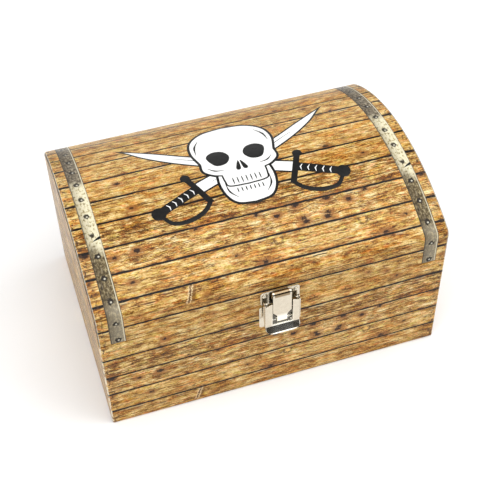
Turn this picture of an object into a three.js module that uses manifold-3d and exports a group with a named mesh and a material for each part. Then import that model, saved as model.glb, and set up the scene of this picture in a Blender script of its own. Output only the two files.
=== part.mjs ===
// A small treasure chest box: greyboard panels wrapped in printed paper, a domed lid on a cloth
// hinge, and a nickel-plated draw latch. Millimetres, +Z up. X runs along the width and Y runs
// from the front, where the latch is, to the back. The origin is the middle of the underside.

import * as THREE from 'three';
import { mergeVertices } from 'three/addons/utils/BufferGeometryUtils.js';
import Module from 'manifold-3d';

const wasm = await Module();
wasm.setup();

// ---------------------------------------------------------------- driving dimensions

// the outside of the closed chest
const width = 240;
const depth = 168;
const partingHeight = 84;
const springHeight = 109;
const topHeight = 133;
const shoulderRadius = 6;

// the layers of a wall
const paper = 0.3;
const glueGap = 0.1;
const board = 2.5;
const seamGap = 0.4;

// how far the papers turn over the edges of the boards
const undersideTurnIn = 12;
const rimTurnIn = 2;
const coverSheetInset = 2;

// the cloth strips over the hinge line
const cloth = 0.3;
const outerCloth = { halfWidth: 116, reach: 14 };
const innerCloth = { halfWidth: 108, reach: 11 };

// The draw latch is measured across from its own middle, out from the front of the chest, and
// up from the parting line.
const latchMiddle = 1;
const plate = 0.7;
const basePlate = { halfWidth: 14.5, top: -0.8, bottom: -21, corner: 1.6 };
const keeperPlate = { halfWidth: 13.5, top: 12.6, bottom: 0.8, corner: 1.8 };
const keeperHook = { halfWidth: 5.5, bottom: 5.5, top: 10.5, reach: 2.2, wall: 0.6 };
const ear = { inner: 10.4, outer: 11.1, radius: 1.4, foot: -9.5, neck: -1.5 };
const leverPivot = { out: 3.7, up: 4.6 };
const linkPivot = { out: 3.4, up: -12.6 };
const lever = { halfWidth: 12.2, faceOut: 5.4, riseOverPivot: 1 };
const leverLip = { top: -18, radius: 4.2, rounding: 4.5 };
const leverChamfer = { across: 4.2, down: 1.6 };
const leverFlange = { radius: 1.6, waist: -8, waistOut: 1.7, foot: -16.5 };
const leverWindow = { halfWidth: 7, bottom: -14.9 };
const leverTab = { inner: 6.9, outer: 7.6, radius: 1.9 };
const link = { halfWidth: 6.5, footHalfWidth: 4.6, shoulder: -7, shoulderSlope: 2 };
const linkBarrelRadius = 1.9;
const linkCurl = { radius: 2.2, top: 13.8, sweep: 95 };

// pins and rivets
const runningGap = 0.3;
const pinRadius = 0.6;
const pinHead = { radius: 1.1, length: 0.5 };
const rivet = { headRadius: 1.5, headHeight: 0.8, shankRadius: 0.9, tailRadius: 1.7, tailHeight: 0.6 };
const baseRivets = { across: 8.4, upper: -5, lower: -18.4 };
const keeperRivets = { across: 10.8, up: 9.4 };

// the fineness of the round surfaces
const domeSteps = 28;
const shoulderSteps = 6;
const cornerSteps = 5;
const roundSides = 20;

// ---------------------------------------------------------------- worked-out dimensions

const halfWidth = width / 2;
const halfDepth = depth / 2;
const domeRise = topHeight - springHeight;
const domeRadius = (halfDepth ** 2 + domeRise ** 2) / (2 * domeRise);
const domeCentreZ = topHeight - domeRadius;
const shoulderY = halfDepth - shoulderRadius;
const shoulderZ = domeCentreZ + Math.sqrt((domeRadius - shoulderRadius) ** 2 - shoulderY ** 2);
const domeHalfAngle = Math.atan2(shoulderY, shoulderZ - domeCentreZ);

// distances inwards from the outside of a wall
const boardOutside = paper + glueGap;
const boardInside = boardOutside + board;
const liningOutside = boardInside + glueGap;
const liningInside = liningOutside + paper;
const innerClothOutside = liningInside + glueGap;

// heights in the base, from the underside up
const wrapBottom = paper + glueGap;
const boardBottom = wrapBottom + paper + glueGap;
const floorBoardTop = boardBottom + board;
const floorLinerBottom = floorBoardTop + glueGap;
const baseLiningBottom = floorLinerBottom + paper + glueGap;
const baseTop = partingHeight - seamGap / 2;
const baseBoardTop = baseTop - paper - glueGap;
const baseLiningTop = baseTop - rimTurnIn - glueGap;

// heights in the lid
const lidBottom = partingHeight + seamGap / 2;
const lidBoardBottom = lidBottom + paper + glueGap;
const lidLiningBottom = lidBottom + rimTurnIn + glueGap;

// distances out from the front of the chest
const plateBack = glueGap;
const plateFront = plateBack + plate;
const leverTop = leverPivot.up + lever.riseOverPivot;
const linkBack = linkPivot.out + linkBarrelRadius - plate;

// ---------------------------------------------------------------- solids and booleans

function toSolid(geometry) {
  const bare = geometry.clone();
  bare.deleteAttribute('normal');
  bare.deleteAttribute('uv');
  const merged = mergeVertices(bare, 1e-5);
  return new wasm.Manifold(new wasm.Mesh({
    numProp: 3,
    vertProperties: new Float32Array(merged.attributes.position.array),
    triVerts: new Uint32Array(merged.index.array),
  }));
}

function toGeometry(solid) {
  const mesh = solid.getMesh();
  const geometry = new THREE.BufferGeometry();
  geometry.setAttribute('position', new THREE.BufferAttribute(new Float32Array(mesh.vertProperties), 3));
  geometry.setIndex(new THREE.BufferAttribute(new Uint32Array(mesh.triVerts), 1));
  geometry.computeVertexNormals();
  return geometry;
}

function join(...geometries) {
  return toGeometry(geometries.map(toSolid).reduce((sum, solid) => sum.add(solid)));
}

function cut(geometry, ...tools) {
  return toGeometry(tools.map(toSolid).reduce((rest, tool) => rest.subtract(tool), toSolid(geometry)));
}

function common(geometry, other) {
  return toGeometry(toSolid(geometry).intersect(toSolid(other)));
}

// ---------------------------------------------------------------- basic shapes

function box([x0, y0, z0], [x1, y1, z1]) {
  return new THREE.BoxGeometry(x1 - x0, y1 - y0, z1 - z0)
    .translate((x0 + x1) / 2, (y0 + y1) / 2, (z0 + z1) / 2);
}

// a box around the middle of the chest, set in from its outside by one distance all round
function insetBox(inset, bottom, top) {
  return box([inset - halfWidth, inset - halfDepth, bottom], [halfWidth - inset, halfDepth - inset, top]);
}

function extrude(points, length) {
  const shape = new THREE.Shape(points.map(([u, v]) => new THREE.Vector2(u, v)));
  return new THREE.ExtrudeGeometry(shape, { depth: length, bevelEnabled: false });
}

// an outline of [y, z] points, extruded along X
function prismAlongX(points, fromX, toX) {
  const axes = new THREE.Matrix4().makeBasis(
    new THREE.Vector3(0, 1, 0),
    new THREE.Vector3(0, 0, 1),
    new THREE.Vector3(1, 0, 0),
  );
  return extrude(points, toX - fromX).applyMatrix4(axes).translate(fromX, 0, 0);
}

// an outline of [x, z] points, extruded along Y
function prismAlongY(points, fromY, toY) {
  const axes = new THREE.Matrix4().makeBasis(
    new THREE.Vector3(1, 0, 0),
    new THREE.Vector3(0, 0, 1),
    new THREE.Vector3(0, -1, 0),
  );
  return extrude(points, toY - fromY).applyMatrix4(axes).translate(0, toY, 0);
}

function rodAlongX(radius, fromX, toX, y, z) {
  return new THREE.CylinderGeometry(radius, radius, toX - fromX, roundSides)
    .rotateZ(Math.PI / 2)
    .translate((fromX + toX) / 2, y, z);
}

function rodAlongY(radius, fromY, toY, x, z) {
  return new THREE.CylinderGeometry(radius, radius, toY - fromY, roundSides)
    .translate(x, (fromY + toY) / 2, z);
}

// one piece on each side of the middle
function bothSides(make, inner, outer) {
  return [make(-outer, -inner), make(inner, outer)];
}

// points along an arc, with both of its ends
function arc([u, v], radius, fromAngle, toAngle, steps) {
  return Array.from({ length: steps + 1 }, (_, step) => {
    const angle = fromAngle + (toAngle - fromAngle) * step / steps;
    return [u + radius * Math.cos(angle), v + radius * Math.sin(angle)];
  });
}

// an outline with its four corners rounded, counter-clockwise from the lower left
function roundedRectangle(u0, v0, u1, v1, radius) {
  const turn = Math.PI / 2;
  return [
    ...arc([u0 + radius, v0 + radius], radius, 2 * turn, 3 * turn, cornerSteps),
    ...arc([u1 - radius, v0 + radius], radius, 3 * turn, 4 * turn, cornerSteps),
    ...arc([u1 - radius, v1 - radius], radius, 0, turn, cornerSteps),
    ...arc([u0 + radius, v1 - radius], radius, turn, 2 * turn, cornerSteps),
  ];
}

// ---------------------------------------------------------------- materials

function finish(name, colour, roughness, metalness = 0) {
  return new THREE.MeshStandardMaterial({ name, color: new THREE.Color(colour), roughness, metalness });
}

const greyboard = () => finish('greyboard', 0x9c968c, 0.95);
const plankPaper = () => finish('plank_paper', 0xb98a4e, 0.45);
const liningPaper = () => finish('lining_paper', 0x6b4a2e, 0.8);
const coverPaper = () => finish('cover_paper', 0x2f2822, 0.85);
const hingeCloth = () => finish('hinge_cloth', 0x5a3a22, 0.9);
const nickel = () => finish('nickel', 0xd9d3c4, 0.25, 1);

// ---------------------------------------------------------------- the section of the lid

// The lid's outline at one inset: up the front, over the dome and down the back. Arcs share their
// centres at every inset, so the layers stay parallel.
function lidOutline(inset, bottom) {
  const bend = shoulderRadius - inset;
  const lean = Math.PI / 2 - domeHalfAngle;
  return [
    [inset - halfDepth, bottom],
    ...arc([-shoulderY, shoulderZ], bend, Math.PI, Math.PI - lean, shoulderSteps),
    ...arc([0, domeCentreZ], domeRadius - inset, Math.PI - lean, lean, domeSteps).slice(1, -1),
    ...arc([shoulderY, shoulderZ], bend, lean, 0, shoulderSteps),
    [halfDepth - inset, bottom],
  ];
}

// the curved part of the outline alone
function domeOutline(inset) {
  return lidOutline(inset, lidBottom).slice(1, -1);
}

// ---------------------------------------------------------------- rivets

const frontY = -halfDepth;
const throughWall = 12;

const baseRivetSites = {
  base_rivet_upper_left: [-baseRivets.across, baseRivets.upper],
  base_rivet_upper_right: [baseRivets.across, baseRivets.upper],
  base_rivet_lower_left: [-baseRivets.across, baseRivets.lower],
  base_rivet_lower_right: [baseRivets.across, baseRivets.lower],
};
const keeperRivetSites = {
  keeper_rivet_left: [-keeperRivets.across, keeperRivets.up],
  keeper_rivet_right: [keeperRivets.across, keeperRivets.up],
};

function rivetHoles(sites) {
  const radius = rivet.shankRadius + runningGap;
  return Object.values(sites).map(([across, up]) => rodAlongY(
    radius, frontY - throughWall, frontY + throughWall, latchMiddle + across, partingHeight + up));
}

// A rivet is turned about its own axis: a domed head outside, a shank through the plate and the
// wall, and a clinched tail inside.
function rivetSolid([across, up]) {
  const headBase = plateFront + glueGap;
  const tailOutside = -liningInside - glueGap;
  const tailInside = tailOutside - rivet.tailHeight;
  const profile = [
    new THREE.Vector2(0, tailInside),
    new THREE.Vector2(rivet.tailRadius, tailInside),
    new THREE.Vector2(rivet.tailRadius, tailOutside),
    new THREE.Vector2(rivet.shankRadius, tailOutside),
    new THREE.Vector2(rivet.shankRadius, headBase),
    new THREE.Vector2(rivet.headRadius, headBase),
    new THREE.Vector2(rivet.headRadius * Math.cos(Math.PI / 6), headBase + rivet.headHeight / 2),
    new THREE.Vector2(rivet.headRadius / 2, headBase + rivet.headHeight * Math.cos(Math.PI / 6)),
    new THREE.Vector2(0, headBase + rivet.headHeight),
  ];
  return new THREE.LatheGeometry(profile, roundSides)
    .rotateX(Math.PI)
    .translate(latchMiddle + across, frontY, partingHeight + up);
}

// ---------------------------------------------------------------- base

// a wrap around the four walls, turned in under the floor and over the rim
function baseWrap() {
  const outside = insetBox(0, wrapBottom, baseTop);
  const walls = cut(
    insetBox(paper, wrapBottom + paper, baseTop - paper),
    insetBox(liningOutside, baseTop - rimTurnIn, baseTop),
  );
  const mouth = insetBox(liningInside, baseTop - rimTurnIn - paper, baseTop + 1);
  const underside = insetBox(undersideTurnIn, wrapBottom - 1, wrapBottom + 2 * paper);
  return cut(outside, walls, mouth, underside, ...rivetHoles(baseRivetSites));
}

// the lining around the inside of the four walls
function baseLining() {
  return cut(
    insetBox(liningOutside, baseLiningBottom, baseLiningTop),
    insetBox(liningInside, baseLiningBottom - 1, baseLiningTop + 1),
    ...rivetHoles(baseRivetSites),
  );
}

// a base panel that stands on the floor level and reaches to the rim
function wallBoard([x0, y0], [x1, y1]) {
  return box([x0, y0, boardBottom], [x1, y1, baseBoardTop]);
}

function baseParts() {
  const sideReach = halfDepth - boardInside - glueGap;
  const boardX = halfWidth - boardOutside;
  const boardY = halfDepth - boardOutside;
  const innerX = halfWidth - boardInside;
  const innerY = halfDepth - boardInside;
  const front = cut(wallBoard([-boardX, -boardY], [boardX, -innerY]), ...rivetHoles(baseRivetSites));
  const floorLinerTop = floorLinerBottom + paper;
  return {
    base_bottom_board: [insetBox(boardInside + glueGap, boardBottom, floorBoardTop), greyboard()],
    base_front_board: [front, greyboard()],
    base_back_board: [wallBoard([-boardX, innerY], [boardX, boardY]), greyboard()],
    base_left_board: [wallBoard([-boardX, -sideReach], [-innerX, sideReach]), greyboard()],
    base_right_board: [wallBoard([innerX, -sideReach], [boardX, sideReach]), greyboard()],
    base_wrap: [baseWrap(), plankPaper()],
    base_cover_sheet: [insetBox(coverSheetInset, 0, paper), coverPaper()],
    base_lining: [baseLining(), liningPaper()],
    base_floor_liner: [insetBox(liningOutside, floorLinerBottom, floorLinerTop), liningPaper()],
  };
}

// ---------------------------------------------------------------- lid

// a printed sheet over the front, dome and back, turned in over the rim
function lidWrap() {
  const section = [
    ...lidOutline(0, lidBottom),
    [halfDepth - liningInside, lidBottom],
    [halfDepth - liningInside, lidBottom + rimTurnIn],
    [halfDepth - liningOutside, lidBottom + rimTurnIn],
    [halfDepth - liningOutside, lidBottom + paper],
    ...lidOutline(paper, lidBottom + paper).reverse(),
    [liningOutside - halfDepth, lidBottom + paper],
    [liningOutside - halfDepth, lidBottom + rimTurnIn],
    [liningInside - halfDepth, lidBottom + rimTurnIn],
    [liningInside - halfDepth, lidBottom],
  ];
  const reach = halfWidth - boardOutside;
  const room = bothSides(endBoardRoom, reach - board - glueGap, halfWidth);
  return cut(prismAlongX(section, -reach, reach), ...room, ...rivetHoles(keeperRivetSites));
}

// the room above the rim that an end board takes from the turned-in edges
function endBoardRoom(fromX, toX) {
  const reachY = halfDepth - boardInside;
  return box([fromX, -reachY, lidBottom + paper], [toX, reachY, lidBottom + 2 * rimTurnIn]);
}

// the sheet on the right end, turned in over the rim; the left one is its mirror image
function lidEndSheet() {
  const rimY = halfDepth - liningInside - glueGap;
  const rimX = halfWidth - liningInside;
  const face = prismAlongX(lidOutline(0, lidBottom), halfWidth - paper, halfWidth);
  const rim = box([rimX, -rimY, lidBottom], [halfWidth - paper / 2, rimY, lidBottom + paper]);
  const turnIn = box([rimX, -rimY, lidBottom], [rimX + paper, rimY, lidBottom + rimTurnIn]);
  return join(face, rim, turnIn);
}

// the mirror image of an indexed geometry, across the middle of the chest
function mirrored(geometry) {
  const copy = geometry.clone().scale(-1, 1, 1);
  const corners = copy.index.array;
  for (let first = 0; first < corners.length; first += 3) {
    [corners[first], corners[first + 1]] = [corners[first + 1], corners[first]];
  }
  copy.computeVertexNormals();
  return copy;
}

// the right-hand one of two flat sheets that fill the lid's outline at one inset
function lidEnd(inset, bottom, thickness) {
  return join(prismAlongX(lidOutline(inset, bottom), halfWidth - inset - thickness, halfWidth - inset));
}

// the strips below the dome board; the front one takes the keeper's rivets
function stripBoard(reach, outside, inside) {
  return box([-reach, outside, lidBoardBottom], [reach, inside, shoulderZ - glueGap]);
}

function lidDomeBoard(reach) {
  const section = [...domeOutline(boardInside), ...domeOutline(boardOutside).reverse()];
  return prismAlongX(section, -reach, reach);
}

// the lining up the front, under the dome and down the back
function lidLining() {
  const reach = halfWidth - liningInside - glueGap;
  const section = [
    ...lidOutline(liningOutside, lidLiningBottom),
    ...lidOutline(liningInside, lidLiningBottom).reverse(),
  ];
  return cut(prismAlongX(section, -reach, reach), ...rivetHoles(keeperRivetSites));
}

function lidParts() {
  const reach = halfWidth - boardInside - glueGap;
  const outerY = halfDepth - boardOutside;
  const innerY = halfDepth - boardInside;
  const frontStrip = cut(stripBoard(reach, -outerY, -innerY), ...rivetHoles(keeperRivetSites));
  const endBoard = lidEnd(boardOutside, lidBoardBottom, board);
  const endLining = lidEnd(liningOutside, lidLiningBottom, paper);
  return {
    lid_front_strip_board: [frontStrip, greyboard()],
    lid_back_strip_board: [stripBoard(reach, innerY, outerY), greyboard()],
    lid_dome_board: [lidDomeBoard(reach), greyboard()],
    lid_left_end_board: [mirrored(endBoard), greyboard()],
    lid_right_end_board: [endBoard, greyboard()],
    lid_wrap: [lidWrap(), plankPaper()],
    lid_left_end_sheet: [mirrored(lidEndSheet()), plankPaper()],
    lid_right_end_sheet: [lidEndSheet(), plankPaper()],
    lid_lining: [lidLining(), liningPaper()],
    lid_left_lining: [mirrored(endLining), liningPaper()],
    lid_right_lining: [endLining, liningPaper()],
  };
}

// ---------------------------------------------------------------- hinge

// a strip centred on the parting line, from one depth to another
function clothStrip({ halfWidth: across, reach }, fromY, toY) {
  return box([-across, fromY, partingHeight - reach], [across, toY, partingHeight + reach]);
}

function hingeStrips() {
  const outerY = halfDepth + glueGap;
  const innerY = halfDepth - innerClothOutside;
  return {
    hinge_cloth_outer: [clothStrip(outerCloth, outerY, outerY + cloth), hingeCloth()],
    hinge_cloth_inner: [clothStrip(innerCloth, innerY - cloth, innerY), hingeCloth()],
  };
}

// ---------------------------------------------------------------- latch

// an outline of [out, up] points, extruded across the latch
function acrossLatch(points, from, to) {
  const outline = points.map(([out, up]) => [frontY - out, partingHeight + up]);
  return prismAlongX(outline, latchMiddle + from, latchMiddle + to);
}

// an outline of [across, up] points, extruded outwards
function outOfLatch(points, fromOut, toOut) {
  const outline = points.map(([across, up]) => [latchMiddle + across, partingHeight + up]);
  return prismAlongY(outline, frontY - toOut, frontY - fromOut);
}

function latchRod(radius, from, to, { out, up }) {
  return rodAlongX(radius, latchMiddle + from, latchMiddle + to, frontY - out, partingHeight + up);
}

function latchBasePlate() {
  const { halfWidth: across, top, bottom, corner } = basePlate;
  const sheet = outOfLatch(roundedRectangle(-across, bottom, across, top, corner), plateBack, plateFront);
  const { out, up } = leverPivot;
  const earOutline = [
    [plateFront - plate / 2, ear.foot],
    ...arc([out, up], ear.radius, 0, Math.PI, roundSides / 2),
    [out - ear.radius, ear.neck],
    [plateFront - plate / 2, ear.neck],
  ];
  const ears = bothSides((from, to) => acrossLatch(earOutline, from, to), ear.inner, ear.outer);
  const bores = bothSides(
    (from, to) => latchRod(pinRadius + runningGap, from - 1, to + 1, leverPivot), ear.inner, ear.outer);
  return cut(join(sheet, ...ears), ...bores, ...rivetHoles(baseRivetSites));
}

// the right-hand pivot pin: a shank through the flange and the ear, headed on the inside
function leverPin() {
  const tip = lever.halfWidth + glueGap;
  const headEnd = ear.inner - glueGap;
  return join(
    latchRod(pinRadius, headEnd - pinHead.length / 2, tip, leverPivot),
    latchRod(pinHead.radius, headEnd - pinHead.length, headEnd, leverPivot),
  );
}

// turns a right-hand latch piece into the left-hand one
function acrossTheLatch(geometry) {
  return mirrored(geometry).translate(2 * latchMiddle, 0, 0);
}

// the lever's sheet, seen from its side: flat down to the lip, which curls out
function leverSheet() {
  const { faceOut } = lever;
  const centre = [faceOut + plate + leverLip.radius - plate / 2, leverLip.top];
  const inside = arc(centre, leverLip.radius + plate / 2, Math.PI, 1.5 * Math.PI, roundSides / 2);
  const outside = arc(centre, leverLip.radius - plate / 2, 1.5 * Math.PI, Math.PI, roundSides / 2);
  const outline = [[faceOut, leverTop], ...inside, ...outside, [faceOut + plate, leverTop]];
  return acrossLatch(outline, -lever.halfWidth, lever.halfWidth);
}

// the lever's outline from the front: chamfered above, rounded below
function leverFront() {
  const { halfWidth: across } = lever;
  const { rounding } = leverLip;
  const bottom = leverLip.top - leverLip.radius - plate;
  return outOfLatch([
    ...arc([rounding - across, bottom + rounding], rounding, Math.PI, 1.5 * Math.PI, cornerSteps),
    ...arc([across - rounding, bottom + rounding], rounding, 1.5 * Math.PI, 2 * Math.PI, cornerSteps),
    [across, leverTop - leverChamfer.down],
    [across - leverChamfer.across, leverTop],
    [leverChamfer.across - across, leverTop],
    [-across, leverTop - leverChamfer.down],
  ], 0, lever.faceOut + 4 * leverLip.radius);
}

// a flange down the lever's edge, with a round end on the pivot
function leverFlangeSolid(from, to) {
  const { out, up } = leverPivot;
  const face = lever.faceOut + plate / 2;
  return acrossLatch([
    [face, leverFlange.foot],
    [face, up],
    ...arc([out, up], leverFlange.radius, Math.PI / 4, Math.PI, roundSides / 2),
    [leverFlange.waistOut, leverFlange.waist],
    [lever.faceOut - plate, leverFlange.foot],
  ], from, to);
}

// a tab behind the lever's window that holds the link's pin
function leverTabSolid(from, to) {
  const { out, up } = linkPivot;
  return acrossLatch([
    [lever.faceOut + plate / 2, up - leverTab.radius],
    [lever.faceOut + plate / 2, up + leverTab.radius],
    ...arc([out, up], leverTab.radius, Math.PI / 2, 1.5 * Math.PI, roundSides / 2),
  ], from, to);
}

function latchLever() {
  const flanges = bothSides(leverFlangeSolid, lever.halfWidth - plate, lever.halfWidth);
  const tabs = bothSides(leverTabSolid, leverTab.inner, leverTab.outer);
  const { halfWidth: across, bottom } = leverWindow;
  const window = outOfLatch([
    [-across, bottom],
    [across, bottom],
    [across, leverTop + 1],
    [-across, leverTop + 1],
  ], lever.faceOut - plate / 2, lever.faceOut + 2 * plate);
  const { inner, outer } = leverTab;
  const bores = [
    ...bothSides((from, to) => latchRod(pinRadius + runningGap, from - 1, to + 1, leverPivot),
      lever.halfWidth - plate, lever.halfWidth),
    latchRod(pinRadius + runningGap, -outer - 1, outer + 1, linkPivot),
  ];
  const sheet = cut(common(leverSheet(), leverFront()), window);
  return cut(join(sheet, ...flanges, ...tabs), ...bores);
}

function latchLinkPin() {
  const end = leverTab.outer + glueGap + pinHead.length;
  return join(
    latchRod(pinRadius, -end + glueGap, end - glueGap, linkPivot),
    latchRod(pinHead.radius, end - pinHead.length, end, linkPivot),
    latchRod(pinHead.radius, -end, pinHead.length - end, linkPivot),
  );
}

// a plate from the barrel on the pin up to a curled edge over the keeper's hook
function latchLink() {
  const { halfWidth: across, footHalfWidth: foot, shoulder, shoulderSlope } = link;
  const { radius, top, sweep } = linkCurl;
  const curlCentre = [linkBack + plate - radius, top - radius];
  const sheet = outOfLatch([
    [-foot, linkPivot.up],
    [foot, linkPivot.up],
    [foot, shoulder - shoulderSlope],
    [across, shoulder],
    [across, curlCentre[1]],
    [-across, curlCentre[1]],
    [-across, shoulder],
    [-foot, shoulder - shoulderSlope],
  ], linkBack, linkBack + plate);
  const curlEnd = THREE.MathUtils.degToRad(sweep);
  const curl = acrossLatch([
    ...arc(curlCentre, radius, -plate / radius, curlEnd, roundSides / 2),
    ...arc(curlCentre, radius - plate, curlEnd, -plate / radius, roundSides / 2),
  ], -across, across);
  const barrel = latchRod(linkBarrelRadius, -foot, foot, linkPivot);
  const bore = latchRod(pinRadius + runningGap, -foot - 1, foot + 1, linkPivot);
  return cut(join(sheet, curl, barrel), bore);
}

function latchKeeper() {
  const { halfWidth: across, top, bottom, corner } = keeperPlate;
  const { bottom: hookBottom, top: hookTop, reach, wall } = keeperHook;
  const sheet = outOfLatch(roundedRectangle(-across, bottom, across, top, corner), plateBack, plateFront);
  const hook = acrossLatch([
    [plateFront - wall, hookBottom],
    [reach, hookBottom + wall / 2],
    [reach, hookTop],
    [reach - wall, hookTop],
    [reach - wall, hookBottom + 2 * wall],
    [plateFront - wall, hookBottom + 1.5 * wall],
  ], -keeperHook.halfWidth, keeperHook.halfWidth);
  return cut(join(sheet, hook), ...rivetHoles(keeperRivetSites));
}

function latchParts() {
  const rivets = Object.entries({ ...baseRivetSites, ...keeperRivetSites });
  return {
    latch_base_plate: [latchBasePlate(), nickel()],
    latch_pivot_pin_left: [acrossTheLatch(leverPin()), nickel()],
    latch_pivot_pin_right: [leverPin(), nickel()],
    latch_lever: [latchLever(), nickel()],
    latch_link_pin: [latchLinkPin(), nickel()],
    latch_link: [latchLink(), nickel()],
    latch_keeper_plate: [latchKeeper(), nickel()],
    ...Object.fromEntries(rivets.map(([name, site]) => [name, [rivetSolid(site), nickel()]])),
  };
}

// ---------------------------------------------------------------- the chest

const chest = new THREE.Group();
const parts = { ...baseParts(), ...lidParts(), ...hingeStrips(), ...latchParts() };

for (const [name, [geometry, material]] of Object.entries(parts)) {
  const mesh = new THREE.Mesh(geometry, material);
  mesh.name = name;
  chest.add(mesh);
}

export default chest;
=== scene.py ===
# A small treasure chest box of paper-covered board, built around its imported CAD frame. Metres, +Z up:
# X runs along the width, and Y from the latch side to the hinge side.
import math

import bmesh
import bpy
from mathutils import Matrix, Vector
from mathutils.geometry import delaunay_2d_cdt, tessellate_polygon


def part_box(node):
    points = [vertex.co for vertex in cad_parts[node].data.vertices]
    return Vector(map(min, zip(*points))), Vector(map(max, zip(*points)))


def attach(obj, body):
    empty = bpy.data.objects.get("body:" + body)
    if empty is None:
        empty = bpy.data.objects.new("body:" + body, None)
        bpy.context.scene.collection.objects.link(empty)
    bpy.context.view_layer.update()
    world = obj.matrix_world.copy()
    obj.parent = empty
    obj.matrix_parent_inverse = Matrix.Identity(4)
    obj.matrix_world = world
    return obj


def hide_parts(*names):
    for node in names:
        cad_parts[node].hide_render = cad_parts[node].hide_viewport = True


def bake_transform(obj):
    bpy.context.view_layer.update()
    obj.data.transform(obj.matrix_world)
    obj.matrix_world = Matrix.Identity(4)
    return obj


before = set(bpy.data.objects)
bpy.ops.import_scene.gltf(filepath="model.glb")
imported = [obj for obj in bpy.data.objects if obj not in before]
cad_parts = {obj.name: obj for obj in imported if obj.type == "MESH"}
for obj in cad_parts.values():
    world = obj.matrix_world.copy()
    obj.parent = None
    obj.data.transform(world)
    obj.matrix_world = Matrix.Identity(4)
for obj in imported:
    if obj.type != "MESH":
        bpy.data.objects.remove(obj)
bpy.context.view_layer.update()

MM = 0.001
QUARTER = math.pi / 2

# ------------------------------------------------------------------ places read from the frame

BASE_LOW, BASE_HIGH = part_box("base_wrap")
LID_LOW, LID_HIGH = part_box("lid_wrap")
HALF_WIDTH, HALF_DEPTH, BASE_TOP = BASE_HIGH
BASE_BOTTOM = BASE_LOW.z
LID_REACH = LID_HIGH.x
LID_BOTTOM = LID_LOW.z
LID_TOP = LID_HIGH.z
PARTING = (BASE_TOP + LID_BOTTOM) / 2
MIDDLE = Vector((0, 0, PARTING))

# ------------------------------------------------------------------ sizes of the papered walls

PAPER = 0.3 * MM
GLUE = 0.1 * MM
WALL = 3.3 * MM
RIM_TURN_IN = 2 * MM
UNDERSIDE_TURN_IN = 12 * MM
END_TURN_IN = 7 * MM
EDGE_RADIUS = 1.3 * MM
RIM_RADIUS = 0.5 * MM
FOOT_RADIUS = 1.1 * MM
END_SHEET_MARGIN = 1.6 * MM

# The lid's section: a flat front, a tight shoulder, the dome, and the same down the back.
SHOULDER_RADIUS = 6 * MM
SHOULDER_Y = HALF_DEPTH - SHOULDER_RADIUS
SHOULDER_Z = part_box("lid_front_strip_board")[1].z + GLUE
DOME_RISE = LID_TOP - SHOULDER_Z
DOME_RADIUS = ((SHOULDER_Y ** 2 + DOME_RISE ** 2 - SHOULDER_RADIUS ** 2)
               / (2 * (DOME_RISE - SHOULDER_RADIUS)))
DOME_CENTRE_Z = LID_TOP - DOME_RADIUS
DOME_HALF_ANGLE = math.atan2(SHOULDER_Y, SHOULDER_Z - DOME_CENTRE_Z)
SHOULDER_RUN = SHOULDER_RADIUS * (QUARTER - DOME_HALF_ANGLE)
RIDGE_RUN = SHOULDER_Z + SHOULDER_RUN + DOME_RADIUS * DOME_HALF_ANGLE

# The print is laid out by the run: the way up the front from the floor, and on over the dome.
BASE_PLANK_EDGES = [edge * MM for edge in (-23.5, -4, 15.5, 34, 52, 70, 91)]
LID_PLANK_EDGES = [edge * MM for edge in (78, 98, 117.5, 135.5, 154, 173.3, 192.7, 213, 233.5, 251.5,
                                          270, 289, 308, 327)]
BASE_PRINT_SKEW = 0.012
STRAP_MIDDLE = 107.2 * MM
STRAP_WIDTH = 10 * MM
RIVET_PITCH = 15.7 * MM
FIRST_RIVET_RUN = 87.5 * MM
HEADLESS_RIVET = 5


# ------------------------------------------------------------------ mesh helpers

def arc(u, v, radius, start, end, steps):
    """Points along an arc around (u, v), with both of its ends."""
    turns = spread(start, end, steps)
    return [(u + radius * math.cos(turn), v + radius * math.sin(turn)) for turn in turns]


def spread(start, end, steps):
    """Evenly spaced numbers from start to end, with both of them."""
    return [start + (end - start) * step / steps for step in range(steps + 1)]


def mesh_object(name, bm, material, sharp=40):
    """Turns a bmesh into an object, smooth-shaded with its sharp edges kept."""
    mesh = bpy.data.meshes.new(name)
    bm.to_mesh(mesh)
    bm.free()
    mesh.shade_smooth()
    mesh.set_sharp_from_angle(angle=math.radians(sharp))
    mesh.materials.append(material)
    piece = bpy.data.objects.new(name, mesh)
    bpy.context.scene.collection.objects.link(piece)
    return piece


def face_outwards(bm):
    """Drops a skin's loose points and turns its faces to look away from the middle of the chest."""
    bmesh.ops.delete(bm, geom=[vert for vert in bm.verts if not vert.link_faces], context="VERTS")
    bm.normal_update()
    total = sum(face.calc_area() * face.normal.dot(face.calc_center_median() - MIDDLE) for face in bm.faces)
    if total < 0:
        bmesh.ops.reverse_faces(bm, faces=bm.faces)


def thicken(piece, thickness):
    """Gives a one-sided skin its thickness, inwards, and keeps its flat faces flat in shading."""
    solid = piece.modifiers.new("thickness", "SOLIDIFY")
    solid.thickness = thickness
    solid.offset = -1
    solid.use_even_offset = True
    graph = bpy.context.evaluated_depsgraph_get()
    mesh = bpy.data.meshes.new_from_object(piece.evaluated_get(graph))
    piece.modifiers.clear()
    piece.data = mesh
    mesh.name = piece.name
    weigh_normals(piece)


def weigh_normals(piece):
    normals = piece.modifiers.new("normals", "WEIGHTED_NORMAL")
    normals.keep_sharp = True


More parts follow.
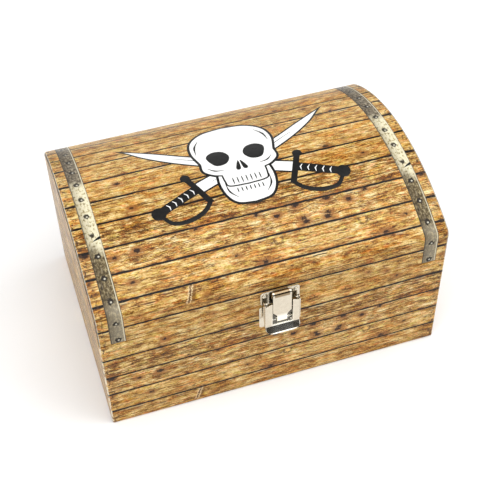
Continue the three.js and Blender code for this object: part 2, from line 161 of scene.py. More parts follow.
def skin(name, grid, material, closed=False, keep=None):
    """A grid of rows of (point, print place, plank place) as a one-sided mesh. closed joins the last
    column to the first, and keep(row, column) says which faces there are."""
    bm = bmesh.new()
    layers = [bm.loops.layers.uv.new("print"), bm.loops.layers.uv.new("planks")]
    width = len(grid[0]) - (1 if closed else 0)
    verts = [[bm.verts.new(cell[0]) for cell in row[:width]] for row in grid]
    for row in range(len(grid) - 1):
        for column in range(len(grid[0]) - 1):
            if keep and not keep(row, column):
                continue
            corners = ((row, column), (row, column + 1), (row + 1, column + 1), (row + 1, column))
            face = bm.faces.new([verts[r][c % width] for r, c in corners])
            for loop, (r, c) in zip(face.loops, corners):
                for layer, place in zip(layers, grid[r][c][1:]):
                    loop[layer].uv = place
    face_outwards(bm)
    return mesh_object(name, bm, material)


def placed(piece, body, slot, *nodes):
    """Says which body a piece rides on and which CAD nodes it stands for. Its slot is not used."""
    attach(piece, body)
    if nodes:
        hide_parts(*nodes)


def papered(piece, thickness, body, *nodes):
    """Gives a printed skin its thickness, and its place on the chest."""
    thicken(piece, thickness)
    placed(piece, body, "plank_paper", *nodes)

# ------------------------------------------------------------------ the base's printed wrap

def plank_place(u, run, edges):
    """(u, number of planks up), where whole numbers fall on the gaps between planks."""
    for number, (low, high) in enumerate(zip(edges, edges[1:])):
        if run < high:
            return u, number + (run - low) / (high - low)
    return u, len(edges) - 1


def base_profile():
    """(inset, height, run) over the rim, down the wall and in under the floor."""
    foot = BASE_BOTTOM
    rim = [(WALL, BASE_TOP - RIM_TURN_IN)]
    rim += arc(WALL - RIM_RADIUS, BASE_TOP - RIM_RADIUS, RIM_RADIUS, 0, QUARTER, 4)
    rim += arc(RIM_RADIUS, BASE_TOP - RIM_RADIUS, RIM_RADIUS, QUARTER, 2 * QUARTER, 4)
    wall = [(0, height) for height in reversed(BASE_PLANK_EDGES[2:-1])]
    turned = arc(FOOT_RADIUS, foot + FOOT_RADIUS, FOOT_RADIUS, 2 * QUARTER, 3 * QUARTER, 5)
    turned.append((UNDERSIDE_TURN_IN, foot))
    return ([(inset, height, height + inset) for inset, height in rim + wall]
            + [(inset, height, height - inset) for inset, height in turned])


def ring(inset):
    """(u, x, y) around the four walls at one inset, from the back left corner and past the front."""
    radius = max(EDGE_RADIUS - inset, GLUE)
    reach = inset + radius
    bend = EDGE_RADIUS * QUARTER
    walls = [2 * (HALF_DEPTH - EDGE_RADIUS), 2 * (HALF_WIDTH - EDGE_RADIUS)]
    u = -walls[1] / 2 - 2 * bend - walls[0]
    points = []
    for number, (side_x, side_y) in enumerate(((-1, 1), (-1, -1), (1, -1), (1, 1))):
        start = QUARTER * (number + 1)
        centre = (side_x * (HALF_WIDTH - reach), side_y * (HALF_DEPTH - reach))
        corner = arc(*centre, radius, start, start + QUARTER, 5)
        points += [(u + bend * step / 5, x, y) for step, (x, y) in enumerate(corner)]
        u += bend + walls[number % 2]
    return points + [(u, *points[0][1:])]


def base_wrap(material):
    grid = []
    for inset, height, run in base_profile():
        row = []
        for u, x, y in ring(inset):
            level = run - BASE_PRINT_SKEW * x
            row.append((Vector((x, y, height)), (u, level), plank_place(u, level, BASE_PLANK_EDGES)))
        grid.append(row)
    papered(skin("base_printed_wrap", grid, material, closed=True), PAPER, "base", "base_wrap")


# ------------------------------------------------------------------ the lid's printed papers

def lid_section(run, inset=0.0):
    """(y, z) on the lid's outline at a run, with the outline set in."""
    if run > RIDGE_RUN:
        y, z = lid_section(2 * RIDGE_RUN - run, inset)
        return -y, z
    if run < SHOULDER_Z:
        return inset - HALF_DEPTH, run
    if run < SHOULDER_Z + SHOULDER_RUN:
        turn = 2 * QUARTER - (run - SHOULDER_Z) / SHOULDER_RADIUS
        radius = SHOULDER_RADIUS - inset
        return radius * math.cos(turn) - SHOULDER_Y, SHOULDER_Z + radius * math.sin(turn)
    turn = QUARTER + (RIDGE_RUN - run) / DOME_RADIUS
    radius = DOME_RADIUS - inset
    return radius * math.cos(turn), DOME_CENTRE_Z + radius * math.sin(turn)


def section_runs(low, high, extra=()):
    """Sorted runs between two limits, close together round the bends, with some extra ones."""
    front = spread(SHOULDER_Z, SHOULDER_Z + SHOULDER_RUN, 6)[:-1]
    front += spread(SHOULDER_Z + SHOULDER_RUN, RIDGE_RUN, 34)
    back = [2 * RIDGE_RUN - run for run in front[:-1]]
    return sorted({low, high, *(run for run in (*front, *back, *extra) if low < run < high)})


def rim_rows():
    """(inset, height, run) around the lid's rim, from the inside to the outside."""
    rows = [(WALL, LID_BOTTOM + RIM_TURN_IN)]
    rows += arc(WALL - RIM_RADIUS, LID_BOTTOM + RIM_RADIUS, RIM_RADIUS, 0, -QUARTER, 4)
    rows += arc(RIM_RADIUS, LID_BOTTOM + RIM_RADIUS, RIM_RADIUS, 3 * QUARTER, 2 * QUARTER, 4)[:-1]
    return [(inset, height, height - inset) for inset, height in rows]


def end_columns():
    """(x, inset, u) over the lid's right edge, and in under the end sheet."""
    bend = arc(LID_REACH - EDGE_RADIUS, EDGE_RADIUS, EDGE_RADIUS, -QUARTER, 0, 5)
    columns = [(x, inset, x + inset) for x, inset in bend]
    return columns + [(LID_REACH, END_TURN_IN, LID_REACH + END_TURN_IN)]


def lid_columns():
    right = end_columns()
    left = [(-x, inset, -u) for x, inset, u in reversed(right)]
    flat = LID_REACH - EDGE_RADIUS
    return left + [(x, 0, x) for x in spread(-flat, flat, 12)[1:-1]] + right


def lid_cell(x, y, z, u, run):
    return Vector((x, y, z)), (u, run), plank_place(u, run, LID_PLANK_EDGES)


def lid_wrap(material):
    columns = lid_columns()
    rims = rim_rows()
    runs = section_runs(LID_BOTTOM + RIM_RADIUS, 2 * RIDGE_RUN - LID_BOTTOM - RIM_RADIUS, LID_PLANK_EDGES)

    def rim_row(inset, height, run, side):
        """A row of the rim on the front, side -1, or the back."""
        run = run if side < 0 else 2 * RIDGE_RUN - run
        return [lid_cell(x, side * (HALF_DEPTH - inset - in_end * (1 - inset / WALL)), height, u, run)
                for x, in_end, u in columns]

    def section_row(run):
        return [lid_cell(x, *lid_section(run, in_end), u, run) for x, in_end, u in columns]

    def keep(row, column):
        """Leaves out the rim's corners, where the end sheet covers the turned-in edge."""
        on_section = len(rims) <= row < len(rims) + len(runs) - 1
        return on_section or 0 < column < len(columns) - 2

    grid = [rim_row(*rim, -1) for rim in rims]
    grid += [section_row(run) for run in runs]
    grid += [rim_row(*rim, 1) for rim in reversed(rims)]
    papered(skin("lid_printed_wrap", grid, material, keep=keep), PAPER, "lid", "lid_wrap")


def lid_end_sheet(name, side, material, node):
    """The D-shaped sheet on one end of the lid, turned in over the rim."""
    runs = section_runs(SHOULDER_Z, 2 * RIDGE_RUN - SHOULDER_Z)
    tops = [lid_section(run, END_SHEET_MARGIN) for run in runs]
    foot = LID_BOTTOM + RIM_RADIUS
    grid = [[lid_cell(side * (HALF_WIDTH - inset), y, height, side * y, run) for y, _ in tops]
            for inset, height, run in rim_rows()]
    for level in spread(0, 1, 8):
        heights = [(y, foot + (top - foot) * level) for y, top in tops]
        grid.append([lid_cell(side * HALF_WIDTH, y, z, side * y, z) for y, z in heights])
    papered(skin(name, grid, material), PAPER, "lid", node)


# ------------------------------------------------------------------ the cloth hinge

def hinge_cloth(name, node, fold, material):
    """A cloth strip over the hinge line, finely divided where it folds."""
    low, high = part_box(node)
    outward = high.y > HALF_DEPTH
    y = high.y if outward else low.y
    heights = sorted({*spread(low.z, high.z, 12), *spread(PARTING - fold, PARTING + fold, 16)})
    bm = bmesh.new()
    layer = bm.loops.layers.uv.new("print")
    verts = [[bm.verts.new((x, y, z)) for x in spread(low.x, high.x, 40)] for z in heights]
    for lower, upper in zip(verts, verts[1:]):
        for first, second, third, fourth in zip(lower, lower[1:], upper[1:], upper):
            corners = (fourth, third, second, first) if outward else (first, second, third, fourth)
            face = bm.faces.new(corners)
            for loop in face.loops:
                loop[layer].uv = (loop.vert.co.x, loop.vert.co.z)
    piece = mesh_object(name, bm, material)
    thicken(piece, high.y - low.y)
    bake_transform(piece)
    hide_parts(node)

# ------------------------------------------------------------------ printed shapes on the dome

INK_SINK = 0.02 * MM
PRINT_ROW = 2.5 * MM


def curve(*points, steps=8):
    """A smooth open line through points, with its ends on the first and the last."""
    points = [Vector(point) for point in points]
    padded = [2 * points[0] - points[1], *points, 2 * points[-1] - points[-2]]
    line = []
    for before, start, end, after in zip(padded, padded[1:], padded[2:], padded[3:]):
        for step in range(steps):
            t = step / steps
            line.append(0.5 * (2 * start + (end - before) * t
                               + (2 * before - 5 * start + 4 * end - after) * t ** 2
                               + (3 * start - before - 3 * end + after) * t ** 3))
    return [*line, points[-1]]


def loop(*points, steps=8):
    """A smooth closed line through points."""
    count = len(points)
    line = curve(*(points[(number - 1) % count] for number in range(count + 3)), steps=steps)
    return line[steps:-steps - 1]


def mirrored(points):
    """Points on the other side of the emblem's upright middle line, in the opposite order."""
    return [Vector((-x, y)) for x, y in reversed(points)]


def stroke(line, start, middle, end):
    """Quads along a line, as wide as given at its start, middle and end."""
    line = [Vector(point) for point in line]
    sides = []
    last = len(line) - 1
    for number, point in enumerate(line):
        along = (line[min(number + 1, last)] - line[max(number - 1, 0)]).normalized()
        t = number / last
        width = start + (middle - start) * 2 * t if t < 0.5 else middle + (end - middle) * (2 * t - 1)
        across = Vector((-along.y, along.x)) * max(width, 0.05) / 2
        sides.append((point + across, point - across))
    return [[left, right, next_right, next_left]
            for (left, right), (next_left, next_right) in zip(sides, sides[1:])]


def printed(name, polygons, lift, material, holes=()):
    """The union of some polygons, less the holes, as one thin printed patch on the dome. They are in
    metres, as (x, run)."""
    shapes = [shape if turns_left(shape) else shape[::-1] for shape in (*polygons, *holes)]
    points = []
    faces = []
    for shape in shapes:
        faces.append(list(range(len(points), len(points) + len(shape))))
        points += [Vector(point) for point in shape]
    left, right = min(p.x for p in points) - MM, max(p.x for p in points) + MM
    low, high = min(p.y for p in points), max(p.y for p in points)
    cuts = []
    for number in range(math.ceil(low / PRINT_ROW), math.ceil(high / PRINT_ROW)):
        cuts.append((len(points), len(points) + 1))
        points += [Vector((left, number * PRINT_ROW)), Vector((right, number * PRINT_ROW))]
    places, _, triangles, _, _, origins = delaunay_2d_cdt(points, cuts, faces, 1, 1e-7)
    bm = bmesh.new()
    layer = bm.loops.layers.uv.new("print")
    verts = [bm.verts.new((x, *lid_section(run, -lift))) for x, run in places]
    for corners, origin in zip(triangles, origins):
        if origin and not any(number >= len(polygons) for number in origin):
            face = bm.faces.new([verts[corner] for corner in corners])
            for corner, loop_part in zip(corners, face.loops):
                loop_part[layer].uv = places[corner]
    face_outwards(bm)
    papered(mesh_object(name, bm, material), lift + INK_SINK, "lid")


# ------------------------------------------------------------------ straps

STRAP_LIFT = 0.05 * MM
INK_LIFT = 0.08 * MM


def strap(name, middle, material):
    low = LID_BOTTOM + RIM_RADIUS
    runs = section_runs(low, 2 * RIDGE_RUN - low)
    across = spread(middle - STRAP_WIDTH / 2, middle + STRAP_WIDTH / 2, 4)
    grid = [[(Vector((x, *lid_section(run, -STRAP_LIFT))), (x - middle, run), (x, run)) for x in across]
            for run in runs]
    papered(skin(name, grid, material), STRAP_LIFT + INK_SINK, "lid")


def strap_crack(middle):
    """A long chip out of one strap's right edge, halfway up the front of the dome."""
    edge = middle + STRAP_WIDTH / 2
    run = LID_BOTTOM + 5 * RIVET_PITCH
    shape = ((0, 1.7), (-1.6, 1.2), (-3.4, 0.2), (-6, -1.6), (-3.4, -1.1), (-1.4, -0.6), (0, -0.4))
    return [Vector((edge + x * MM, run + y * MM)) for x, y in shape]


# ------------------------------------------------------------------ the skull and crossed cutlasses

# A plain pirate-flag emblem, drawn in millimetres about its own middle. Its right half mirrors its left one.
EMBLEM_MIDDLE = (2 * MM, 203.5 * MM)
HALO_LIFT = 0.04 * MM
WHITE_LIFT = 0.07 * MM
DETAIL_LIFT = 0.1 * MM
SHINE_LIFT = 0.13 * MM
BLADE_ANGLE = math.radians(24)
SWORD_CROSSING = (0, -5)
SWORD_REACH = 76
OUTLINE = 1.3
BOLD_OUTLINE = 1.8


def on_lid(shapes):
    """Shapes from the emblem's millimetres to (x, run) in metres."""
    middle = Vector(EMBLEM_MIDDLE)
    return [[middle + Vector(point) * MM for point in shape] for shape in shapes]


def both_sides(shapes):
    return [*shapes, *(mirrored(shape) for shape in shapes)]


def disc(u, v, radius):
    return arc(u, v, radius, 0, 4 * QUARTER, 20)[:-1]


def cranium():
    """The skull without its lower jaw: a round dome, cheekbones and a square upper jaw."""
    side = curve((0, 41), (-15, 38), (-25.4, 28.4), (-28.4, 15), (-25.4, 1), steps=7)
    cheek = curve((-25.4, 1), (-25.6, -6.4), (-20.4, -11.4), (-14.6, -13.6), steps=5)
    mouth = curve((-14.6, -13.6), (-14.2, -20), (-12.4, -24), (0, -25), steps=5)
    half = [*side, *cheek[1:], *mouth[1:]]
    return [*half, *mirrored(half)[1:-1]]


def jaw():
    side = curve((-17.4, -11.6), (-18.4, -22), (-16.4, -32), (-11, -38.6), (0, -40.6), steps=6)
    return [*side, *mirrored(side)[1:]]


def teeth_row(low, high, reach, count):
    """The straight gaps between the teeth of one row."""
    places = [2 * reach * number / count - reach for number in range(1, count)]
    middle = (low + high) / 2
    return [quad for x in places for quad in stroke([(x, low), (x, middle), (x, high)], 0.5, 0.9, 0.5)]


def skull_details():
    """The dark shapes drawn on the white of the skull: sockets, nose, teeth and a little shading."""
    socket = loop((-20.6, 6), (-15.6, 11), (-8.2, 9.6), (-5, 3), (-9, -3.4), (-16.6, -3.4), steps=5)
    nostril = loop((-0.7, -2.6), (-4, -9.8), (-3, -12), (-0.8, -10.6), steps=4)
    temple = stroke(curve((-25.8, 12), (-24.6, 21), (-20.2, 29)), 0.2, 1.5, 0.2)
    cheekbone = stroke(curve((-22.8, -4.4), (-18.4, -8.2), (-12.4, -9.4)), 0.2, 1.2, 0.2)
    jaw_side = stroke(curve((-15.4, -21), (-14.4, -29), (-10, -35)), 0.2, 1.3, 0.2)
    teeth = [*teeth_row(-23.4, -17.8, 12.4, 8), *teeth_row(-31, -27.2, 11.6, 8)]
    return [*both_sides([socket, nostril, *temple, *cheekbone, *jaw_side]), *teeth]


def sword_place(shape):
    """From a sword's own measures, along it from its pommel, to the emblem. It points up to the right."""
    turn = Matrix.Rotation(BLADE_ANGLE, 2)
    start = Vector(SWORD_CROSSING) - turn @ Vector((SWORD_REACH - 6, 0))
    return [start + turn @ Vector(point) for point in shape]


def blade():
    """A plain curved blade that tapers to its point."""
    edge = curve((33, -4.6), (70, -6), (108, -4.6), (134, 1), (152, 9.6), steps=6)
    back = curve((152, 9.6), (130, 6.2), (104, 2.8), (70, 2), (33, 4), steps=6)
    return [*edge, *back[1:]]


def hilt():
    """The black parts of a sword: a straight grip, a round pommel, a cross guard and one bow."""
    grip = [(2, -3.2), (32, -3.8), (32, 3.8), (2, 3.2)]
    guard = [(30.2, -15), (34.4, -15), (34.4, 12), (30.2, 12)]
    bow = stroke(curve((0, -3), (3, -12), (13, -17), (24, -17.4), (32, -14)), 2.6, 3.4, 3)
    return [grip, disc(0, 0, 5), guard, disc(32.3, 12.6, 3.4), *bow]


def hilt_shine():
    """White rings of wire round the grip."""
    rings = [[(x, -2.6), (x + 1, 0), (x, 2.6)] for x in range(8, 30, 5)]
    return [quad for ring_line in rings for quad in stroke(ring_line, 0.4, 0.9, 0.4)]


def blade_lines():
    return stroke(curve((44, -1.4), (80, -2.2), (118, 0.8)), 0.2, 1.1, 0.2)


def grown(shape, distance):
    """An outline moved outwards all round."""
    return offset_outline(shape, -distance if turns_left(shape) else distance)


def emblem(white, ink):
    """Crossed swords behind a skull, in white with black outlines."""
    swords = both_sides([sword_place(blade())])
    hilts = both_sides([sword_place(part) for part in hilt()])
    lines = both_sides([sword_place(part) for part in blade_lines()])
    shine = both_sides([sword_place(part) for part in hilt_shine()])
    bones = [cranium(), jaw()]
    behind = [grown(shape, 0.4) for shape in bones]
    outlines = [grown(shape, BOLD_OUTLINE) for shape in bones]
    gap = [grown(cranium(), 1.2)]
    for name, shapes, lift, material, holes in (
            ("blade_outlines", [grown(shape, OUTLINE) for shape in swords], HALO_LIFT, ink, ()),
            ("blades", swords, WHITE_LIFT, white, behind),
            ("blade_lines", lines, DETAIL_LIFT, ink, behind),
            ("hilts", hilts, DETAIL_LIFT, ink, ()),
            ("hilt_shine", shine, SHINE_LIFT, white, ()),
            ("skull_outline", outlines, WHITE_LIFT + HALO_LIFT, ink, ()),
            ("skull", [cranium()], 2 * WHITE_LIFT, white, ()),
            ("jaw", [jaw()], 2 * WHITE_LIFT, white, gap),
            ("skull_lines", skull_details(), 2 * WHITE_LIFT + HALO_LIFT, ink, ())):
        printed("emblem_" + name, on_lid(shapes), lift, material, on_lid(holes))

# ------------------------------------------------------------------ the latch's sheet metal

# The latch is measured in millimetres: across from its own middle, out from the front of the
# chest, and up from the parting line.
LATCH_MIDDLE = (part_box("latch_lever")[0].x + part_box("latch_lever")[1].x) / 2
SHEET = 0.7
SOFT = 0.14
PLATE_GAP = 0.1
SHANK_HOLE = 1.2
PIN_HOLE = 0.85
LEVER_PIVOT = (3.7, 4.6)
LINK_PIVOT = (3.4, -12.6)


def latch_point(across, out, up):
    return Vector((LATCH_MIDDLE + across * MM, -HALF_DEPTH - out * MM, PARTING + up * MM))


def closed_pairs(points):
    """Each point of a closed line with the next one."""
    return zip(points, [*points[1:], points[0]])


def neighbours(points):
    """Each point of a closed line between the one before and the one after."""
    return zip([points[-1], *points[:-1]], points, [*points[1:], points[0]])


def turns_left(outline):
    """Whether a closed outline runs counter-clockwise."""
    return sum(a[0] * b[1] - b[0] * a[1] for a, b in closed_pairs(outline)) > 0


def offset_outline(outline, distance):
    """A closed outline with every side moved to its own left."""
    moved = []
    for before, here, after in neighbours(outline):
        here = Vector(here)
        first = (here - Vector(before)).normalized()
        second = (Vector(after) - here).normalized()
        lefts = Vector((-first.y, first.x)), Vector((-second.y, second.x))
        moved.append(here + (lefts[0] + lefts[1]) * distance / (1 + lefts[0].dot(lefts[1])))
    return moved


def rounded(corners, steps=5):
    """A closed outline from (u, v, corner radius) points, counter-clockwise."""
    outline = []
    for before, here, after in neighbours(corners):
        point, radius = Vector(here[:2]), here[2]
        if not radius:
            outline.append(point)
            continue
        back = (Vector(before[:2]) - point).normalized()
        ahead = (Vector(after[:2]) - point).normalized()
        half = back.angle(ahead) / 2
        centre = point + (back + ahead).normalized() * radius / math.sin(half)
        start = point + back * radius / math.tan(half) - centre
        sweep = math.copysign(2 * (QUARTER - half), back.x * -ahead.y + back.y * ahead.x)
        outline += [centre + Matrix.Rotation(turn, 2) @ start for turn in spread(0, sweep, steps)]
    return outline


def both_halves(half):
    """A symmetric outline from the (u, v, corner radius) points of its right half, counter-clockwise."""
    corners = half + [(-u, v, radius) for u, v, radius in reversed(half)]
    return rounded(corners if turns_left([corner[:2] for corner in corners]) else corners[::-1])


def hole(u, v, radius):
    """A round hole's outline, clockwise as a hole's has to be."""
    return [Vector(point) for point in arc(u, v, radius, 4 * QUARTER, 0, 24)[:-1]]


def join_rings(bm, rings):
    """Faces between each closed ring of points and the next."""
    for low, high in zip(rings, rings[1:]):
        for (one, two), (four, three) in zip(closed_pairs(low), closed_pairs(high)):
            bm.faces.new((one, two, three, four))


def moved(bm, place):
    """Puts every point of a mesh where place(u, v, w) says."""
    for vert in bm.verts:
        vert.co = place(*vert.co)
    return bm


def plate(outline, holes=(), thickness=SHEET, soft=SOFT):
    """A flat plate in (u, v, w) with softened rims; w runs from its back, at 0, to its front."""
    bm = bmesh.new()
    levels = [(soft, 0), (0.3 * soft, 0.3 * soft), (0, soft)]
    levels += [(inset, thickness - w) for inset, w in reversed(levels)]
    stacks = []
    for line in (outline, *holes):
        rings = [[bm.verts.new((*point, w)) for point in offset_outline(line, inset)] for inset, w in levels]
        join_rings(bm, rings)
        stacks.append(rings)
    for level in (0, -1):
        lines = [[vert.co for vert in rings[level]] for rings in stacks]
        verts = [vert for rings in stacks for vert in rings[level]]
        for corners in tessellate_polygon(lines):
            bm.faces.new([verts[corner] for corner in corners])
    bmesh.ops.recalc_face_normals(bm, faces=bm.faces)
    return bm


def slice_at(bm, axis, places):
    """Cuts a plate's faces at some places along one axis, so that it can bend there."""
    normal = Vector([1 if number == axis else 0 for number in range(3)])
    for place in places:
        parts = [*bm.verts, *bm.edges, *bm.faces]
        bmesh.ops.bisect_plane(bm, geom=parts, plane_co=normal * place, plane_no=normal)


def follow(path, distance, start, heading):
    """The (out, up) point and heading at a distance along a bent sheet's back, given as stretches of
    (length, turn). The last stretch runs on straight past its end."""
    point = Vector(start)
    for length, turn in [*path, (math.inf, 0)]:
        step = min(distance, length)
        bent = turn * step / length if turn else 0
        if bent:
            radius = length / turn
            point += radius * Vector((math.sin(heading + bent) - math.sin(heading),
                                      math.cos(heading) - math.cos(heading + bent)))
        else:
            point += step * Vector((math.cos(heading), math.sin(heading)))
        heading += bent
        distance -= step
        if distance <= 0:
            break
    return point, heading


def bend_along(bm, path, start, heading):
    """Bends a plate along its v; w stands to the left of the path. It becomes (across, out, up)."""
    def place(across, distance, w):
        point, facing = follow(path, distance, start, heading)
        return across, *(point + w * Vector((-math.sin(facing), math.cos(facing))))

    moved(bm, place)


def path_slices(path, step=0.45):
    """Places to slice a plate at: close together in the bends of a path."""
    places = []
    distance = 0
    for length, turn in path:
        count = max(1, round(length / step)) if turn else 1
        places += spread(distance, distance + length, count)
        distance += length
    return sorted(set(places))


def latch_piece(name, parts, material, body, *nodes):
    """Joins plates in (across, out, up) into one piece in its place on the chest."""
    whole = bmesh.new()
    for part in parts:
        mesh = bpy.data.meshes.new("part")
        part.to_mesh(mesh)
        part.free()
        whole.from_mesh(mesh)
        bpy.data.meshes.remove(mesh)
    moved(whole, latch_point)
    bmesh.ops.recalc_face_normals(whole, faces=whole.faces)
    piece = mesh_object(name, whole, material, sharp=50)
    weigh_normals(piece)
    placed(piece, body, "nickel", *nodes)


def upright(bm):
    """Stands a flat plate up just off the front: its (u, v, w) is (across, up, out)."""
    return moved(bm, lambda across, up, w: (across, PLATE_GAP + w, up))


def edgewise(bm, across):
    """Stands a plate edge-on to the front: its (u, v, w) is (out, up, across)."""
    return moved(bm, lambda out, up, w: (across + w, out, up))


def base_plate(material):
    rivets = [hole(across, up, SHANK_HOLE) for across in (-8.4, 8.4) for up in (-5, -18.4)]
    sheet = plate(both_halves([(14.5, -21, 1.6), (14.5, -0.8, 1.6)]), rivets)
    out, up = LEVER_PIVOT
    ear = [(0.5, -9.5), *arc(out, up, 1.4, 0, 2 * QUARTER, 12), (2.3, -1.5), (0.5, -1.5)]
    ears = [edgewise(plate(ear, [hole(out, up, PIN_HOLE)]), across) for across in (-11.1, 10.4)]
    latch_piece("latch_plate", [upright(sheet), *ears], material, "base", "latch_base_plate")


def keeper(material):
    rivets = [hole(across, 9.4, SHANK_HOLE) for across in (-10.8, 10.8)]
    window = both_halves([(6, 5.6, 0.5), (6, 10.2, 1.2)])[::-1]
    sheet = plate(both_halves([(13.5, 0.8, 1.8), (13.5, 12.6, 1.8)]), [*rivets, window], soft=0.26)
    path = [(0.7, 0), (QUARTER, QUARTER), (4, 0)]
    reach = sum(length for length, _ in path)
    tongue = plate(both_halves([(5.5, 0, 0), (5.5, reach, 1.3)]), thickness=0.6)
    slice_at(tongue, 1, path_slices(path, 0.2))
    bend_along(tongue, path, (0.5, 5.4), 0)
    latch_piece("latch_keeper", [upright(sheet), tongue], material, "lid", "latch_keeper_plate")


LEVER_HALF = 12.2
LEVER_BACK = 5.4
LEVER_TOP = 5.6
LEVER_FLAT = 20.9
FLANGE_BEND = 1.0


def folded(u, along, w):
    """Where a point of the lever's flat sheet goes when its sides are folded back round a bend."""
    flat = LEVER_HALF - FLANGE_BEND
    past = abs(u) - flat
    if past <= 0:
        return u, along, w
    middle = FLANGE_BEND - SHEET / 2
    turn = min(past / middle, QUARTER)
    radius = middle + w - SHEET / 2
    rest = max(past - middle * QUARTER, 0)
    height = SHEET - FLANGE_BEND + radius * math.cos(turn) - rest
    return math.copysign(flat + radius * math.sin(turn), u), along, height


def lever(material):
    """A plate with a window for the link, side flanges that hold it on its pivot, and a thumb lip.
    Its flat pattern runs down from its top edge."""
    path = [(LEVER_FLAT, 0), (0.9, math.radians(31)), (5, math.radians(15)), (1, math.radians(44))]
    end = sum(length for length, _ in path)
    pivot = LEVER_TOP - LEVER_PIVOT[1]
    fold = LEVER_HALF - FLANGE_BEND + (FLANGE_BEND - SHEET / 2) * QUARTER
    depth = LEVER_BACK + SHEET - FLANGE_BEND
    hub = fold + depth - LEVER_PIVOT[0]
    foot = LEVER_TOP + 16.5
    half = [(LEVER_HALF, end, 5), (LEVER_HALF, foot + 1.2, 0.6), (LEVER_HALF - 0.9, foot, 0.3),
            (fold + 0.7, foot, 0.5), (hub + 1.8, LEVER_TOP + 8, 3), (hub + 1.7, pivot + 1.7, 1.8),
            (hub + 1.7, pivot - 1.7, 1.7), (fold + 0.6, pivot - 1.7, 0.8), (fold - 0.6, 1.6, 0.5),
            (8, 0, 0.9), (7, 0, 0.3), (7, 20.3, 0.9)]
    sheet = plate(both_halves(half), [hole(side * hub, pivot, PIN_HOLE) for side in (-1, 1)])
    bends = spread(LEVER_HALF - FLANGE_BEND, fold, 6)
    slice_at(sheet, 0, [side * place for place in bends for side in (-1, 1)])
    slice_at(sheet, 1, path_slices(path))
    moved(sheet, folded)
    bend_along(sheet, path, (LEVER_BACK, LEVER_TOP), -QUARTER)
    out, up = LINK_PIVOT
    tab = [(5.8, up - 1.9), (5.8, up + 1.9), *arc(out, up, 1.9, QUARTER, 3 * QUARTER, 12)]
    tabs = [edgewise(plate(tab, [hole(out, up, PIN_HOLE)]), across) for across in (-7.6, 6.9)]
    latch_piece("lever", [sheet, *tabs], material, "latch_lever", "latch_lever")


def link(material):
    """A tongue that hangs on the lever's pin by a rolled foot, and hooks over the keeper by its curl."""
    curl_turn = math.radians(120)
    roll_turn = math.radians(290)
    curl = 1.5 * curl_turn
    roll = 1.2 * roll_turn
    straight = 11.6 - LINK_PIVOT[1]
    path = [(curl, -curl_turn), (straight, 0), (roll, -roll_turn)]
    end = curl + straight + roll
    shoulder = curl + 11.6 + 4.4
    half = [(6.5, 0, 0.5), (6.5, shoulder, 0.8), (3.6, shoulder + 3, 2.2), (3.6, end, 0.4)]
    sheet = plate(both_halves(half))
    slice_at(sheet, 1, path_slices(path, 0.3))
    start = Vector((3.1, 11.6)) + 1.5 * Vector((math.cos(curl_turn), math.sin(curl_turn)))
    bend_along(sheet, path, start, curl_turn - QUARTER)
    latch_piece("link", [sheet], material, "latch_link", "latch_link")


# ------------------------------------------------------------------ rivets and pins

def turned(profile):
    """A solid turned about the out axis from (radius, out) points that start and end on it."""
    bm = bmesh.new()
    start, *middle, end = profile
    rings = [[bm.verts.new((radius * math.cos(turn), out, radius * math.sin(turn)))
              for turn in spread(0, 4 * QUARTER, 32)[:-1]] for radius, out in middle]
    join_rings(bm, rings)
    for (_, out), edge in ((start, rings[0]), (end, rings[-1])):
        tip = bm.verts.new((0, out, 0))
        for one, two in closed_pairs(edge):
            bm.faces.new((tip, one, two))
    bmesh.ops.recalc_face_normals(bm, faces=bm.faces)
    return bm


def rivet(name, node, body, material):
    """A domed head on the plate, a shank through the wall and a clinched tail inside."""
    low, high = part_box(node)
    across = ((low.x + high.x) / 2 - LATCH_MIDDLE) / MM
    up = ((low.z + high.z) / 2 - PARTING) / MM
    head = 0.9
    tail = -3.4
    dome = [(1.5 * math.cos(turn), head + 0.1 + 0.7 * math.sin(turn)) for turn in spread(0, QUARTER, 7)[:-1]]
    profile = [(0, tail - 0.6), (1.2, tail - 0.6), (1.6, tail - 0.45), (1.7, tail - 0.2), (1.7, tail),
               (0.9, tail), (0.9, head), (1.42, head), *dome, (0, head + 0.8)]
    solid = moved(turned(profile), lambda x, out, z: (across + x, out, up + z))
    latch_piece(name, [solid], material, body, node)

# ------------------------------------------------------------------ materials

class Field:
    """A value that varies over the surface. Arithmetic with it adds nodes to its material."""

    def __init__(self, shade, socket):
        self.shade = shade
        self.socket = socket

    def __add__(self, other):
        return self.shade.math("ADD", self, other)

    def __sub__(self, other):
        return self.shade.math("SUBTRACT", self, other)

    def __rsub__(self, other):
        return self.shade.math("SUBTRACT", other, self)

    def __mul__(self, other):
        return self.shade.math("MULTIPLY", self, other)

    def __truediv__(self, other):
        return self.shade.math("DIVIDE", self, other)

    def __abs__(self):
        return self.shade.math("ABSOLUTE", self)

    def eased(self, low, high, start=0, end=1, kind="SMOOTHSTEP"):
        """Goes from start to end while this value goes from low to high."""
        inputs = {0: self, 1: low, 2: high, 3: start, 4: end}
        return self.shade.node("MapRange", 0, inputs, interpolation_type=kind)


